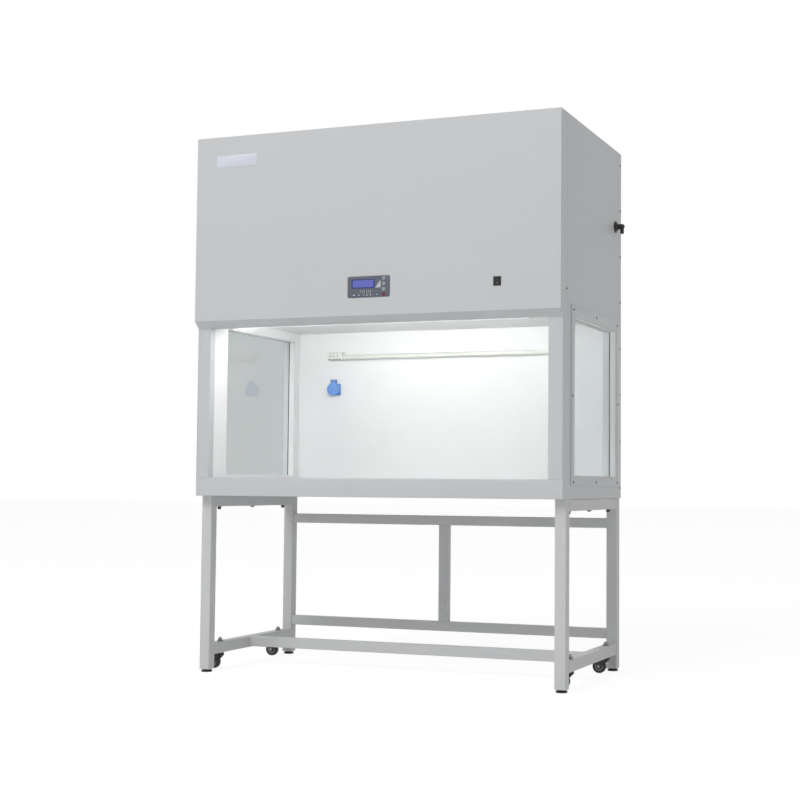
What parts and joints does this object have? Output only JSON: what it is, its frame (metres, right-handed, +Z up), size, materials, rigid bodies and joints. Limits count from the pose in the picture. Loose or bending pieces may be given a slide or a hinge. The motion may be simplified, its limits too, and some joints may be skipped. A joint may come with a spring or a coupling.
{
  "type": "vertical laminar flow cabinet",
  "caption": "Open-fronted clean-air work cabinet with a deep blower hood, side windows, key panel and tube stand on feet and castors.",
  "frame": {"origin": "on the floor under the middle of the cabinet", "axes": "+Z up, the open front looks along -Y, +X to the right of a person working at it"},
  "size_m": [1.464, 0.7545, 1.948],
  "materials": {
    "shell_paint": "fine textured powder coat, light grey",
    "chamber_paint": "smooth white powder coat",
    "stand_paint": "fine textured powder coat, light grey",
    "worktop_steel": "satin stainless steel",
    "window_glass": "clear float glass",
    "gasket_rubber": "matt black foam rubber",
    "screw_steel": "zinc plated steel",
    "black_plastic": "moulded black plastic",
    "wheel_plastic": "black tread",
    "white_plastic": "moulded white plastic",
    "blue_plastic": "moulded blue plastic",
    "galvanised": "galvanised sheet",
    "filter_paper": "pleated glass fibre paper",
    "fleece": "filter fleece",
    "motor_alloy": "cast alloy",
    "frame_alloy": "anodised aluminium",
    "lamp_glass": "frosted lamp tube",
    "panel_film": "printed polyester film",
    "display_film": "backlit display window",
    "key_plastic": "moulded grey keys",
    "red_plastic": "moulded red key",
    "board_resin": "circuit board laminate"
  },
  "bodies": {
    "cabinet": {"stand_side_left": "stand_paint", "stand_side_right": "stand_paint", "stand_rear_frame": "stand_paint", "stand_stretcher": "stand_paint", "stand_bolts": "screw_steel", "leg_inserts": "black_plastic", "castor_stems": "screw_steel", "base_tray": "shell_paint", "work_surface": "worktop_steel", "front_columns": "shell_paint", "side_skin_left": "shell_paint", "side_skin_right": "shell_paint", "side_liner_left": "chamber_paint", "side_liner_right": "chamber_paint", "side_glass": "window_glass", "glass_gaskets": "gasket_rubber", "glass_bezels": "shell_paint", "panel_screws": "screw_steel", "rear_liner": "chamber_paint", "rear_panel": "shell_paint", "hood_cover": "shell_paint", "top_panel": "shell_paint", "prefilters": "fleece", "front_beam": "chamber_paint", "filter_frame": "frame_alloy", "filter_pack": "filter_paper", "diffuser": "chamber_paint", "plenum_deck": "galvanised", "blower_housings": "galvanised", "blower_motors": "motor_alloy", "lamp_holders": "white_plastic", "lamp_tube": "lamp_glass", "uv_tube": "lamp_glass", "control_panel": "panel_film", "display": "display_film", "control_board": "board_resin", "rocker_case": "black_plastic", "badge_plate": "frame_alloy", "socket_body": "blue_plastic", "cable_gland": "black_plastic"},
    "levelling_foot_front_left": {"levelling_foot_front_left": "black_plastic"},
    "castor_fork_front_left": {"castor_fork_front_left": "black_plastic"},
    "castor_wheel_front_left": {"castor_wheel_front_left": "wheel_plastic"},
    "levelling_foot_front_right": {"levelling_foot_front_right": "black_plastic"},
    "castor_fork_front_right": {"castor_fork_front_right": "black_plastic"},
    "castor_wheel_front_right": {"castor_wheel_front_right": "wheel_plastic"},
    "levelling_foot_rear_left": {"levelling_foot_rear_left": "black_plastic"},
    "castor_fork_rear_left": {"castor_fork_rear_left": "black_plastic"},
    "castor_wheel_rear_left": {"castor_wheel_rear_left": "wheel_plastic"},
    "levelling_foot_rear_right": {"levelling_foot_rear_right": "black_plastic"},
    "castor_fork_rear_right": {"castor_fork_rear_right": "black_plastic"},
    "castor_wheel_rear_right": {"castor_wheel_rear_right": "wheel_plastic"},
    "blower_wheel_left": {"blower_wheel_left": "galvanised"},
    "blower_wheel_right": {"blower_wheel_right": "galvanised"},
    "key_power": {"key_power": "red_plastic"},
    "key_lamp": {"key_lamp": "key_plastic"},
    "key_uv": {"key_uv": "key_plastic"},
    "key_fan": {"key_fan": "key_plastic"},
    "rocker": {"rocker": "black_plastic"},
    "socket_flap": {"socket_flap": "blue_plastic"}
  },
  "joints": [
    {"name": "levelling_foot_front_left_screw", "type": "slide", "parent": "cabinet", "child": "levelling_foot_front_left", "axis": [0, 0, -1], "range_m": [0, 0.02]},
    {"name": "castor_fork_front_left_swivel", "type": "hinge", "parent": "cabinet", "child": "castor_fork_front_left", "pos_m": [-0.679, -0.195, 0.05], "axis": [0, 0, 1], "continuous": true},
    {"name": "castor_wheel_front_left_spin", "type": "hinge", "parent": "castor_fork_front_left", "child": "castor_wheel_front_left", "pos_m": [-0.703, -0.195, 0.026], "axis": [0, 1, 0], "continuous": true},
    {"name": "levelling_foot_front_right_screw", "type": "slide", "parent": "cabinet", "child": "levelling_foot_front_right", "axis": [0, 0, -1], "range_m": [0, 0.02]},
    {"name": "castor_fork_front_right_swivel", "type": "hinge", "parent": "cabinet", "child": "castor_fork_front_right", "pos_m": [0.679, -0.195, 0.05], "axis": [0, 0, 1], "continuous": true},
    {"name": "castor_wheel_front_right_spin", "type": "hinge", "parent": "castor_fork_front_right", "child": "castor_wheel_front_right", "pos_m": [0.655, -0.195, 0.026], "axis": [0, 1, 0], "continuous": true},
    {"name": "levelling_foot_rear_left_screw", "type": "slide", "parent": "cabinet", "child": "levelling_foot_rear_left", "axis": [0, 0, -1], "range_m": [0, 0.02]},
    {"name": "castor_fork_rear_left_swivel", "type": "hinge", "parent": "cabinet", "child": "castor_fork_rear_left", "pos_m": [-0.679, 0.249, 0.05], "axis": [0, 0, 1], "continuous": true},
    {"name": "castor_wheel_rear_left_spin", "type": "hinge", "parent": "castor_fork_rear_left", "child": "castor_wheel_rear_left", "pos_m": [-0.703, 0.249, 0.026], "axis": [0, 1, 0], "continuous": true},
    {"name": "levelling_foot_rear_right_screw", "type": "slide", "parent": "cabinet", "child": "levelling_foot_rear_right", "axis": [0, 0, -1], "range_m": [0, 0.02]},
    {"name": "castor_fork_rear_right_swivel", "type": "hinge", "parent": "cabinet", "child": "castor_fork_rear_right", "pos_m": [0.679, 0.249, 0.05], "axis": [0, 0, 1], "continuous": true},
    {"name": "castor_wheel_rear_right_spin", "type": "hinge", "parent": "castor_fork_rear_right", "child": "castor_wheel_rear_right", "pos_m": [0.655, 0.249, 0.026], "axis": [0, 1, 0], "continuous": true},
    {"name": "blower_wheel_left_spin", "type": "hinge", "parent": "cabinet", "child": "blower_wheel_left", "pos_m": [-0.33, 0.02833, 1.6734], "axis": [1, 0, 0], "continuous": true},
    {"name": "blower_wheel_right_spin", "type": "hinge", "parent": "cabinet", "child": "blower_wheel_right", "pos_m": [0.33, 0.02833, 1.6734], "axis": [1, 0, 0], "continuous": true},
    {"name": "key_power_press", "type": "slide", "parent": "cabinet", "child": "key_power", "axis": [0, 1, 0], "range_m": [0, 0.0008], "stiffness_N_per_m": 800, "springref_m": -0.001},
    {"name": "key_lamp_press", "type": "slide", "parent": "cabinet", "child": "key_lamp", "axis": [0, 1, 0], "range_m": [0, 0.0008], "stiffness_N_per_m": 800, "springref_m": -0.001},
    {"name": "key_uv_press", "type": "slide", "parent": "cabinet", "child": "key_uv", "axis": [0, 1, 0], "range_m": [0, 0.0008], "stiffness_N_per_m": 800, "springref_m": -0.001},
    {"name": "key_fan_press", "type": "slide", "parent": "cabinet", "child": "key_fan", "axis": [0, 1, 0], "range_m": [0, 0.0008], "stiffness_N_per_m": 800, "springref_m": -0.001},
    {"name": "rocker_switch", "type": "hinge", "parent": "cabinet", "child": "rocker", "pos_m": [0.475, -0.373, 1.374], "axis": [-1, 0, 0], "range_deg": [0, 20]},
    {"name": "socket_flap_hinge", "type": "hinge", "parent": "cabinet", "child": "socket_flap", "pos_m": [-0.482, 0.321, 1.103], "axis": [-1, 0, 0], "range_deg": [0, 90], "stiffness_Nm_per_rad": 0.01, "springref_deg": -22.92}
  ]
}
